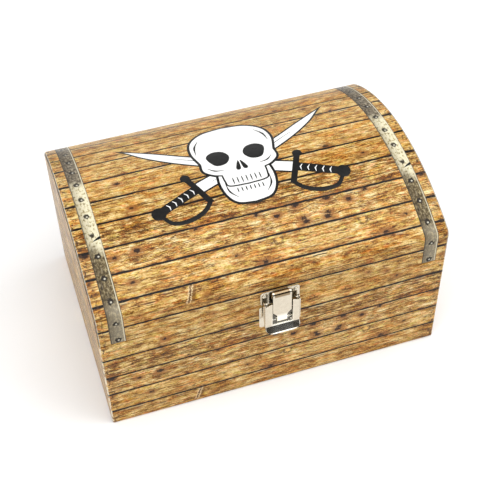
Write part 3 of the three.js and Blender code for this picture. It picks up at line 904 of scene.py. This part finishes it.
class Shade:
    """One node material, with a call for each kind of node. Patterns are measured in millimetres."""

    def __init__(self, name, roughness=0.5, metallic=0.0, specular=0.5):
        self.material = bpy.data.materials.new(name)
        self.material.use_nodes = True
        self.tree = self.material.node_tree
        self.surface = self.tree.nodes["Principled BSDF"]
        self.surface.inputs["Roughness"].default_value = roughness
        self.surface.inputs["Metallic"].default_value = metallic
        self.surface.inputs["Specular IOR Level"].default_value = specular

    def feed(self, socket, value):
        if isinstance(value, Field):
            self.tree.links.new(value.socket, socket)
        else:
            socket.default_value = value

    def node(self, kind, output, inputs, **settings):
        node = self.tree.nodes.new("ShaderNode" + kind)
        for name, value in settings.items():
            setattr(node, name, value)
        for name, value in inputs.items():
            self.feed(node.inputs[name], value)
        return Field(self, node.outputs[output])

    def math(self, operation, *values):
        return self.node("Math", 0, dict(enumerate(values)), operation=operation)

    def mix(self, factor, first, colour, blend="MIX"):
        second = colour if isinstance(colour, Field) else (*colour, 1)
        return self.node("Mix", 2, {0: factor, 6: first, 7: second}, data_type="RGBA", blend_type=blend)

    def ramp(self, value, *stops):
        node = self.tree.nodes.new("ShaderNodeValToRGB")
        self.feed(node.inputs[0], value)
        elements = node.color_ramp.elements
        while len(elements) < len(stops):
            elements.new(0.5)
        for element, (place, colour) in zip(elements, stops):
            element.position = place
            element.color = (*colour, 1)
        return Field(self, node.outputs[0])

    def split(self, vector):
        node = self.tree.nodes.new("ShaderNodeSeparateXYZ")
        self.feed(node.inputs[0], vector)
        return [Field(self, output) for output in node.outputs[:3]]

    def join(self, x, y, z=0):
        return self.node("CombineXYZ", 0, {0: x, 1: y, 2: z})

    def distance(self, first, second):
        return self.node("VectorMath", "Value", {0: first, 1: second}, operation="DISTANCE")

    def stretched(self, vector, x, y, z=1):
        """A vector divided by a feature's size along each axis."""
        return self.node("VectorMath", 0, {0: vector, 1: (1 / x, 1 / y, 1 / z)}, operation="MULTIPLY")

    def noise(self, vector, *size, detail=2, roughness=0.5):
        """Noise with features of a size, in two directions or three."""
        inputs = {"Vector": self.stretched(vector, *size), "Scale": 1, "Detail": detail,
                  "Roughness": roughness}
        return self.node("TexNoise", "Fac", inputs)

    def uv(self, layer, unit=MM):
        return self.stretched(self.node("UVMap", 0, {}, uv_map=layer), unit, unit, unit)

    def place(self):
        """The place on the object at rest."""
        return self.stretched(self.node("TexCoord", "Object", {}), MM, MM, MM)

    def bump(self, height, distance, strength):
        inputs = {"Height": height, "Distance": distance, "Strength": strength}
        self.feed(self.surface.inputs["Normal"], self.node("Bump", 0, inputs))

    def colour(self, value):
        self.feed(self.surface.inputs["Base Color"], value)

    def roughness(self, value):
        self.feed(self.surface.inputs["Roughness"], value)


CHARCOAL_INK = (0.009, 0.009, 0.0087)
FILM_SPECULAR = 0.13

# The plank print is one picture, mirrored about an upright line and used again lower down on the
# base. Its knots are (across from the mirror line in mm, planks up, half their height in mm).
MIRROR_LINE = 36.4
PLANK_PITCH = 18.8
KNOT_STRETCH = 1.45
MARKED_PLANK = 3.5
SPLIT_PLANK = 4
PRINTED_KNOTS = ((7.6, 3.22, 1.8), (8.6, 3.36, 1.5), (11, 3.93, 1.9), (25.2, 3.68, 1.7), (38, 3.92, 1.5),
                 (119, 3.66, 1.9), (134, 3.58, 1.3), (152, 3.92, 2.2), (79, 3.93, 1.1), (41.5, 2.1, 1.7),
                 (58.5, 2.58, 1.1), (127, 2.55, 1.3), (117.5, 5.0, 1.4), (118, 6.6, 1.5), (26, 6.1, 1.5),
                 (48, 5.4, 1.0), (114, 5.35, 1.1), (9.8, 9.2, 1.4), (29, 8.75, 1.3), (45, 8.1, 1.1))
RING_KNOT = (29.2, 2.78, 2.9)
TORN_CHIP = (94.4, 1.67)


def film_finish(shade, place):
    """The printed film's slight sheen, waviness and fine tooth, shared by every printed surface."""
    tooth = shade.noise(place, 0.35, 0.35)
    wave = shade.noise(place, 19, 14, detail=1)
    shade.bump(tooth * 0.012 + wave * 0.5, 0.2 * MM, 0.6)
    shade.roughness(shade.noise(place, 24, 17, detail=3).eased(0.3, 0.7, 0.27, 0.37))


def printed_knots(shade, picture):
    """How far each point is outside the nearest printed knot's edge."""
    squeezed = shade.stretched(picture, KNOT_STRETCH, 1)
    nearest = 50
    for across, planks, radius in PRINTED_KNOTS:
        away = shade.distance(squeezed, (across / KNOT_STRETCH, planks * PLANK_PITCH, 0))
        nearest = shade.math("MINIMUM", nearest, away - radius)
    return nearest


def ring_knot(shade, wood, picture, ragged):
    """A sound knot: orange inside a soft, broken brown ring."""
    across, planks, radius = RING_KNOT
    away = shade.distance(picture, (across, planks * PLANK_PITCH, 0)) + ragged * 6
    wood = shade.mix(away.eased(1, radius, 0.6, 0), wood, (0.80, 0.42, 0.09))
    broken = shade.noise(picture, 3, 3).eased(0.4, 0.6, 0.3, 1)
    return shade.mix(abs(away - radius).eased(0.4, 1.6, 0.9, 0) * broken, wood, (0.12, 0.055, 0.02))


def torn_chip(shade, wood, picture, ragged):
    """Two pale slivers torn across the grain, with a dark crack between them and a stain beside."""
    across, planks = TORN_CHIP
    u, v, _ = shade.split(picture)
    rise = v - planks * PLANK_PITCH
    lean = u - across + rise * 0.34 + ragged * 4.5
    ends = abs(rise).eased(4.5, 7, 1, 0)
    pale = (0.80, 0.60, 0.33)
    for middle, half, tone, strength in ((-2.4, 1.3, (0.16, 0.075, 0.02), 0.7), (-0.9, 0.55, pale, 0.85),
                                         (1, 0.5, pale, 0.85), (0, 0.7, (0.09, 0.04, 0.016), 0.9)):
        sliver = abs(lean - middle).eased(0.6 * half, 1.4 * half, strength, 0)
        wood = shade.mix(ends * sliver, wood, tone)
    return wood


def grain_tone(shade, grain):
    """Weathered grain: streaks and blotches of several sizes, below and above zero."""
    tone = 0
    for length, height, weight in ((1.1, 0.7, 0.26), (4.5, 0.5, 0.36), (14, 1.1, 0.24), (46, 0.8, 0.22),
                                   (9, 4.5, 0.34)):
        streak = shade.noise(grain, length, height, detail=2.5, roughness=0.6)
        tone = (streak - 0.5) * weight + tone
    return tone


def hue_patches(shade, wood, across, up, layer, cast):
    """Orange, pink and straw-coloured patches, some planks redder than others."""
    for length, height, seed, low, high, tint in ((13, 4, 31, 0.47, 0.64, (1.0, 0.70, 0.36)),
                                                  (6, 2.2, 43, 0.52, 0.66, (1.0, 0.62, 0.56)),
                                                  (7, 2.6, 59, 0.52, 0.68, (0.96, 1.06, 0.60))):
        patch = shade.noise(shade.join(across, up, layer + seed), length, height, detail=3, roughness=0.65)
        wood = shade.mix(patch.eased(low, high) * cast, wood, tint, "MULTIPLY")
    return wood


def dark_marks(shade, wood, across, bent, layer, marked):
    """Cracks along the grain, and hair lines that follow its waves."""
    for length, height, seed in ((26, 0.9, 57), (9, 0.7, 83)):
        crack = shade.noise(shade.join(across, bent, layer + seed), length, height, detail=1.5)
        wood = shade.mix((crack + marked * 0.025).eased(0.645, 0.69, 0, 0.85), wood, (0.08, 0.032, 0.014))
    contour = shade.noise(shade.join(across, bent, layer + 71), 55, 4.2)
    from_line = abs(shade.math("FRACT", contour * 5) - 0.5)
    faded = shade.noise(shade.join(across, bent, layer), 12, 3)
    hair = from_line.eased(0.03, 0.075, 0.8, 0) * (faded + marked * 0.1).eased(0.42, 0.6)
    return shade.mix(hair, wood, (0.10, 0.045, 0.02))


def specks(shade, wood, picture):
    """Small dark specks in clusters."""
    speck = shade.noise(picture, 1.5, 0.9, detail=1).eased(0.635, 0.70, 0, 0.9)
    cluster = shade.noise(picture, 16, 9).eased(0.42, 0.58)
    return shade.mix(speck * cluster, wood, (0.07, 0.032, 0.02))


def black_knots(shade, wood, picture, knot_edge, ragged):
    """The printed knots and some scattered small ones, black in a brown stain."""
    spot = {"Vector": shade.stretched(picture, 14, 10), "Scale": 1}
    chance, _, _ = shade.split(shade.node("TexVoronoi", "Color", spot))
    size = chance.eased(0.35, 1, 0, 0.085, "LINEAR")
    spot_edge = (shade.node("TexVoronoi", "Distance", spot) - size) * 12 + ragged * 2
    edge = shade.math("MINIMUM", knot_edge, spot_edge)
    wood = shade.mix(edge.eased(0, 3.2, 0.75, 0), wood, (0.30, 0.12, 0.035))
    return shade.mix(edge.eased(-0.8, 0.4, 0.95, 0), wood, (0.018, 0.01, 0.009))


def plank_gaps(shade, wood, x, planks, layer, split):
    """Black gaps between the planks, shaded above, with pale chips below and some second lines."""
    within = shade.math("FRACT", planks)
    wobble = shade.noise(shade.join(x, layer, 4), 7, 1, detail=4, roughness=0.65) - 0.5
    above = (shade.math("FRACT", within + 0.5) - 0.5) * PLANK_PITCH + wobble * 1.1
    shadow = above.eased(2.2, 0.3, 0, 0.5) * above.eased(-0.1, 0.1)
    wood = shade.mix(shadow, wood, (0.22, 0.095, 0.03))
    gap = shade.math("FLOOR", above / 40 + layer)
    along = shade.noise(shade.join(x, gap, 9), 19, 1, detail=3)
    chipped = above.eased(-2.4, -1.5) * above.eased(-0.3, -0.6) * along.eased(0.5, 0.64, 0, 0.75)
    wood = shade.mix(chipped, wood, (0.78, 0.63, 0.36))
    line = abs(above + 2.1).eased(0.2, 0.45, 1, 0) * along.eased(0.55, 0.62)
    for height, threshold in ((0.36, 0.46), (0.66, 0.53)):
        seam = abs((within - height) * PLANK_PITCH + wobble).eased(0.18, 0.42, 0.9, 0)
        line = shade.math("MAXIMUM", line, seam * along.eased(threshold, threshold + 0.06) * split)
    thick = abs(x).eased(105, 118, 0, 0.5) * along + along.eased(0.3, 0.7, 0.42, 0.8)
    line = shade.math("MAXIMUM", line, abs(above).eased(thick, thick + 0.2, 1, 0))
    return shade.mix(line, wood, (0.012, 0.009, 0.008))


def worn_sides(shade, wood, place, x):
    """Dark ends of planks near the side edges, and worn paper right on the edges."""
    side = abs(x)
    ends = shade.noise(place, 2.2, 3)
    near_side = side.eased(113.5, 117.5) * side.eased(119, 118)
    wood = shade.mix(near_side * ends.eased(0.53, 0.62, 0, 0.9), wood, (0.07, 0.035, 0.02))
    on_edge = abs(side - 119.9).eased(0.2, 1.1, 1, 0)
    return shade.mix(on_edge * ends.eased(0.38, 0.56, 0.2, 0.95), wood, (0.86, 0.79, 0.62))


def plank_print():
    """Weathered pine planks: streaky grain, knots, cracks, and dark gaps between the planks."""
    shade = Shade("plank_print", specular=FILM_SPECULAR)
    place = shade.uv("print")
    x, _, _ = shade.split(place)
    _, planks, _ = shade.split(shade.uv("planks", 1))
    number = shade.math("FLOOR", planks)
    tone, cast, _ = shade.split(shade.node("TexWhiteNoise", "Color", {"W": number}, noise_dimensions="1D"))
    marked = shade.math("COMPARE", number, MARKED_PLANK, 1.1)
    split = shade.math("COMPARE", number, SPLIT_PLANK, 0.1)
    layer = number * 7.3
    across = abs(x - MIRROR_LINE)
    up = planks * PLANK_PITCH
    picture = shade.join(across, up)
    ragged = shade.noise(place, 1.3, 1, detail=3, roughness=0.6) - 0.5
    knot_edge = ragged * 4.4 + printed_knots(shade, picture)

    # the grain is bent by slow waves and by the knots
    bent = shade.noise(shade.join(across, up, layer), 60, 18) * 2.5 + knot_edge.eased(0, 6, 1, 0) + up
    grain = grain_tone(shade, shade.join(across, bent, layer)) * (marked * 0.35 + 1.04)
    toned = grain + tone.eased(0, 1, 0.487, 0.522, "LINEAR")
    wood = shade.ramp(toned, (0.35, (0.055, 0.025, 0.01)), (0.42, (0.20, 0.086, 0.021)),
                      (0.465, (0.39, 0.21, 0.052)), (0.51, (0.55, 0.34, 0.098)),
                      (0.565, (0.69, 0.485, 0.185)), (0.65, (0.88, 0.74, 0.42)))
    wood = hue_patches(shade, wood, across, up, layer, cast.eased(0, 1, 0.6, 1, "LINEAR"))
    wood = dark_marks(shade, wood, across, bent, layer, marked)
    wood = specks(shade, wood, picture)
    wood = ring_knot(shade, wood, picture, ragged)
    wood = torn_chip(shade, wood, picture, ragged)
    wood = black_knots(shade, wood, picture, knot_edge, ragged)
    wood = plank_gaps(shade, wood, x, planks, layer, split)
    shade.colour(worn_sides(shade, wood, place, x))
    film_finish(shade, place)
    return shade.material


def strap_metal(shade, place, mottle):
    """Aged grey-olive metal, bleached cream halfway up and greyer again over the top, with a painted sheen
    past the ridge.
    """
    x, run, _ = shade.split(place)
    ragged = (shade.noise(place, 6, 11) - 0.5) * 16 + run
    olive = shade.ramp(mottle, (0.33, (0.03, 0.022, 0.01)), (0.5, (0.13, 0.093, 0.042)),
                       (0.64, (0.38, 0.31, 0.17)))
    grey = shade.ramp(mottle, (0.33, (0.035, 0.028, 0.02)), (0.5, (0.145, 0.114, 0.073)),
                      (0.64, (0.36, 0.31, 0.22)))
    cream = shade.ramp(mottle, (0.33, (0.20, 0.165, 0.09)), (0.42, (0.52, 0.44, 0.25)),
                       (0.5, (0.76, 0.70, 0.50)))
    metal = shade.mix(run.eased(185, 200), olive, grey)
    metal = shade.mix(ragged.eased(150, 160) * ragged.eased(217, 207), metal, cream)
    from_ridge = abs(run - RIDGE_RUN / MM)
    # paler near the strap's front foot; past the ridge, on the far side of the dome, this is a painted sheen
    foot = shade.math("MAXIMUM", run.eased(94, 88), from_ridge.eased(74, 84))
    metal = shade.mix(foot * 0.35, metal, (0.5, 0.45, 0.34))
    scratch = shade.noise(place, 0.35, 9)
    metal = shade.mix(scratch.eased(0.6, 0.72, 0, 0.4), metal, (0.6, 0.55, 0.44))
    metal = shade.mix(scratch.eased(0.38, 0.28, 0, 0.5), metal, (0.06, 0.045, 0.03))
    metal = shade.mix(x.eased(-4.5, 2, 0.55, 0), metal, (0.35, 0.31, 0.27), "MULTIPLY")
    metal = shade.mix(abs(x - 4.2).eased(0.15, 0.45, 0.8, 0), metal, (0.72, 0.66, 0.48))
    dark_edge = shade.math("MAXIMUM", x.eased(-3.9, -4.6), x.eased(4.5, 4.75))
    return shade.mix(dark_edge * 0.75, metal, (0.045, 0.032, 0.022))


def strap_print():
    """Printed iron straps with a row of rivets: a dark ring round a domed head with a glint."""
    shade = Shade("strap_print", specular=FILM_SPECULAR)
    place = shade.uv("print")
    x, run, _ = shade.split(place)
    mottle = shade.noise(place, 1.6, 2.4, detail=4, roughness=0.65)
    metal = strap_metal(shade, place, mottle)
    step = (run - FIRST_RIVET_RUN / MM) / (RIVET_PITCH / MM)
    about = shade.join(x, (shade.math("FRACT", step + 0.5) - 0.5) * (RIVET_PITCH / MM))
    headless = shade.math("COMPARE", shade.math("ROUND", step), HEADLESS_RIVET, 0.1)
    away = shade.distance(about, (0, 0, 0)) + (mottle - 0.5) * 3.4 + headless * 0.6
    metal = shade.mix(away.eased(1.6, 2.5, 0.95, 0), metal, (0.018, 0.014, 0.011))
    glint = shade.distance(about, (0.3, -0.4, 0)) + headless * 2
    shade.colour(shade.mix(glint.eased(0.3, 0.9, 0.9, 0), metal, (0.66, 0.62, 0.50)))
    film_finish(shade, place)
    return shade.material


def ink(name, colour, fade):
    """Solid printing ink, with the faint unevenness of a large printed area."""
    shade = Shade(name, specular=FILM_SPECULAR)
    place = shade.uv("print")
    faded = tuple(value + (0.5 - value) * fade for value in colour)
    uneven = shade.noise(place, 5, 5, detail=4, roughness=0.7)
    shade.colour(shade.ramp(uneven, (0.3, colour), (0.75, faded)))
    film_finish(shade, place)
    return shade.material


def paper(name, dark, light, roughness, grain=0.5):
    """Plain uncoated paper or board: pressed fibres and slow changes of tone."""
    shade = Shade(name, roughness=roughness, specular=0.3)
    place = shade.place()
    fibre = shade.noise(place, grain, grain, grain, detail=4, roughness=0.7)
    tone = fibre * 0.65 + shade.noise(place, 18, 18, 18) * 0.35
    shade.colour(shade.ramp(tone, (0.32, dark), (0.68, light)))
    shade.roughness(fibre.eased(0.3, 0.7, roughness - 0.08, roughness + 0.06))
    shade.bump(fibre, 0.08 * MM, 0.7)
    return shade.material


def woven_cloth():
    """Plain-weave bookbinding cloth: crossing threads, each a little different in tone."""
    shade = Shade("woven_cloth", roughness=0.85, specular=0.2)
    x, run, _ = shade.split(shade.uv("print"))
    turns = math.tau / 0.55
    weave = shade.math("SINE", x * turns) * shade.math("SINE", run * turns) * 0.5 + 0.5
    slub = shade.noise(shade.join(x, run), 6, 0.6, detail=3)
    tone = weave * 0.45 + slub * 0.55
    shade.colour(shade.ramp(tone, (0.25, (0.055, 0.028, 0.014)), (0.75, (0.17, 0.092, 0.048))))
    shade.roughness(slub.eased(0.3, 0.7, 0.78, 0.92))
    shade.bump(weave, 0.12 * MM, 0.8)
    return shade.material


def nickel():
    """Pressed nickel-plated steel: polished, with faint brushing and ripples. It has a painted highlight
    over the link's foot, a painted tan reflection on the link's curl, and painted shade under the lever."""
    shade = Shade("nickel", roughness=0.2, metallic=1.0)
    place = shade.place()
    brush = shade.noise(place, 6, 0.5, 0.12)
    ripple = shade.noise(place, 4.5, 4.5, 4.5, detail=1)
    haze = shade.noise(place, 3.2, 3.2, 3.2, detail=4, roughness=0.65)
    metal = shade.ramp(haze, (0.3, (0.60, 0.54, 0.43)), (0.7, (0.70, 0.64, 0.53)))
    x, y, z = shade.split(place)
    across = abs(x - LATCH_MIDDLE / MM)
    out = -HALF_DEPTH / MM - y
    up = z - PARTING / MM
    # painted highlight: near-white metal low down in the middle, over the link's foot and the lever's lower
    # part
    metal = shade.mix(across.eased(8.5, 5.5) * up.eased(-5.5, -9.5), metal, (0.95, 0.93, 0.83))
    # painted reflection: a tan tint of the wood above, on the link's curl and the keeper's top strip
    metal = shade.mix(across.eased(5.6, 4.8, 0, 0.9) * up.eased(10.2, 11), metal, (0.25, 0.17, 0.085))
    # painted shade: dark metal on the plate behind the lever, where shade falls
    painted_shade_under_lever = across.eased(11.4, 10.4, 0, 0.92) * out.eased(1.6, 1) * up.eased(0, -0.8)
    shade.colour(shade.mix(painted_shade_under_lever, metal, (0.05, 0.045, 0.035)))
    shade.roughness((haze * 0.7 + brush * 0.3).eased(0.3, 0.7, 0.12, 0.27))
    shade.bump(brush * 0.04 + ripple * 0.5, 0.08 * MM, 0.6)
    return shade.material

# ------------------------------------------------------------------ the chest


def coat(endings, material):
    """Gives a better material to the CAD nodes whose names end in one of the endings."""
    for name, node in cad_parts.items():
        if name.endswith(endings):
            node.data.materials.clear()
            node.data.materials.append(material)


def build_chest():
    planks = plank_print()
    base_wrap(planks)
    lid_wrap(planks)
    lid_end_sheet("lid_left_end_paper", -1, planks, "lid_left_end_sheet")
    lid_end_sheet("lid_right_end_paper", 1, planks, "lid_right_end_sheet")
    cloth = woven_cloth()
    hinge_cloth("outer_hinge_cloth", "hinge_cloth_outer", 1.2 * MM, cloth)
    hinge_cloth("inner_hinge_cloth", "hinge_cloth_inner", 3.5 * MM, cloth)
    coat("_board", paper("greyboard_fibre", (0.22, 0.2, 0.17), (0.38, 0.35, 0.31), 0.9, 0.8))
    lining = paper("lining_paper_fibre", (0.085, 0.045, 0.022), (0.17, 0.095, 0.05), 0.72)
    coat(("_lining", "_liner"), lining)
    coat("_cover_sheet", paper("cover_paper_fibre", (0.018, 0.015, 0.013), (0.045, 0.038, 0.032), 0.7))


def build_print():
    metal = strap_print()
    black = ink("black_ink", CHARCOAL_INK, 0.02)
    white = ink("white_ink", (0.87, 0.87, 0.85), 0.04)
    for name, side in (("left_printed_strap", -1), ("right_printed_strap", 1)):
        strap(name, side * STRAP_MIDDLE, metal)
    printed("strap_cracks", [strap_crack(-STRAP_MIDDLE), strap_crack(STRAP_MIDDLE)], INK_LIFT, black)
    emblem(white, black)


def build_latch():
    metal = nickel()
    base_plate(metal)
    keeper(metal)
    lever(metal)
    link(metal)
    for body, groups in (("base", ("base_rivet_upper", "base_rivet_lower")), ("lid", ("keeper_rivet",))):
        for group in groups:
            for side in ("left", "right"):
                rivet(f"{group}_{side}_turned", f"{group}_{side}", body, metal)
    coat(("_pin", "_pin_left", "_pin_right"), metal)


# ------------------------------------------------------------------ floor, lights and camera

def floor():
    """A wide pale sheet under the chest."""
    shade = Shade("studio_sheet", roughness=0.8, specular=0.2)
    grain = shade.noise(shade.place(), 60, 60, 60, detail=3)
    shade.colour(shade.ramp(grain, (0.3, (0.945, 0.945, 0.945)), (0.7, (0.965, 0.965, 0.965))))
    bm = bmesh.new()
    bmesh.ops.create_grid(bm, x_segments=8, y_segments=8, size=3)
    piece = mesh_object("studio_floor", bm, shade.material)


def softbox(name, place, target, size, power):
    lamp = bpy.data.lights.new(name, "AREA")
    lamp.shape = "RECTANGLE"
    lamp.size, lamp.size_y = size
    lamp.energy = power
    light = bpy.data.objects.new(name, lamp)
    light.location = place
    light.rotation_euler = (Vector(target) - Vector(place)).to_track_quat("-Z", "Y").to_euler()
    bpy.context.scene.collection.objects.link(light)


def lights():
    world = bpy.data.worlds.new("studio")
    world.use_nodes = True
    world.node_tree.nodes["Background"].inputs["Color"].default_value = (1, 1, 1, 1)
    world.node_tree.nodes["Background"].inputs["Strength"].default_value = 0.06
    bpy.context.scene.world = world
    softbox("overhead", (0.1, -0.34, 1.5), (0, 0, 0), (3.0, 1.5), 38)
    softbox("left", (-1.5, -0.75, 0.8), (0, 0, 0.05), (1.2, 1.2), 8)
    softbox("right", (1.4, -0.9, 0.8), (0, 0, 0.05), (1.2, 1.2), 11)
    softbox("back", (-0.2, 1.6, 0.9), (0, 0, 0.1), (2.4, 1.2), 14)


def camera():
    lens = bpy.data.cameras.new("camera")
    lens.lens = 77.03
    lens.sensor_width = 36
    viewer = bpy.data.objects.new("camera", lens)
    place = Vector((-0.15305, -0.51349, 0.61766))
    target = Vector((0.00753, 0, 0.0463))
    aim = (target - place).to_track_quat("-Z", "Y").to_matrix().to_4x4()
    viewer.matrix_world = Matrix.Translation(place) @ aim @ Matrix.Rotation(math.radians(-1.15), 4, "Z")
    bpy.context.scene.collection.objects.link(viewer)
    bpy.context.scene.camera = viewer


build_chest()
build_print()
build_latch()
floor()
lights()
camera()
bpy.context.scene.view_settings.view_transform = "Standard"
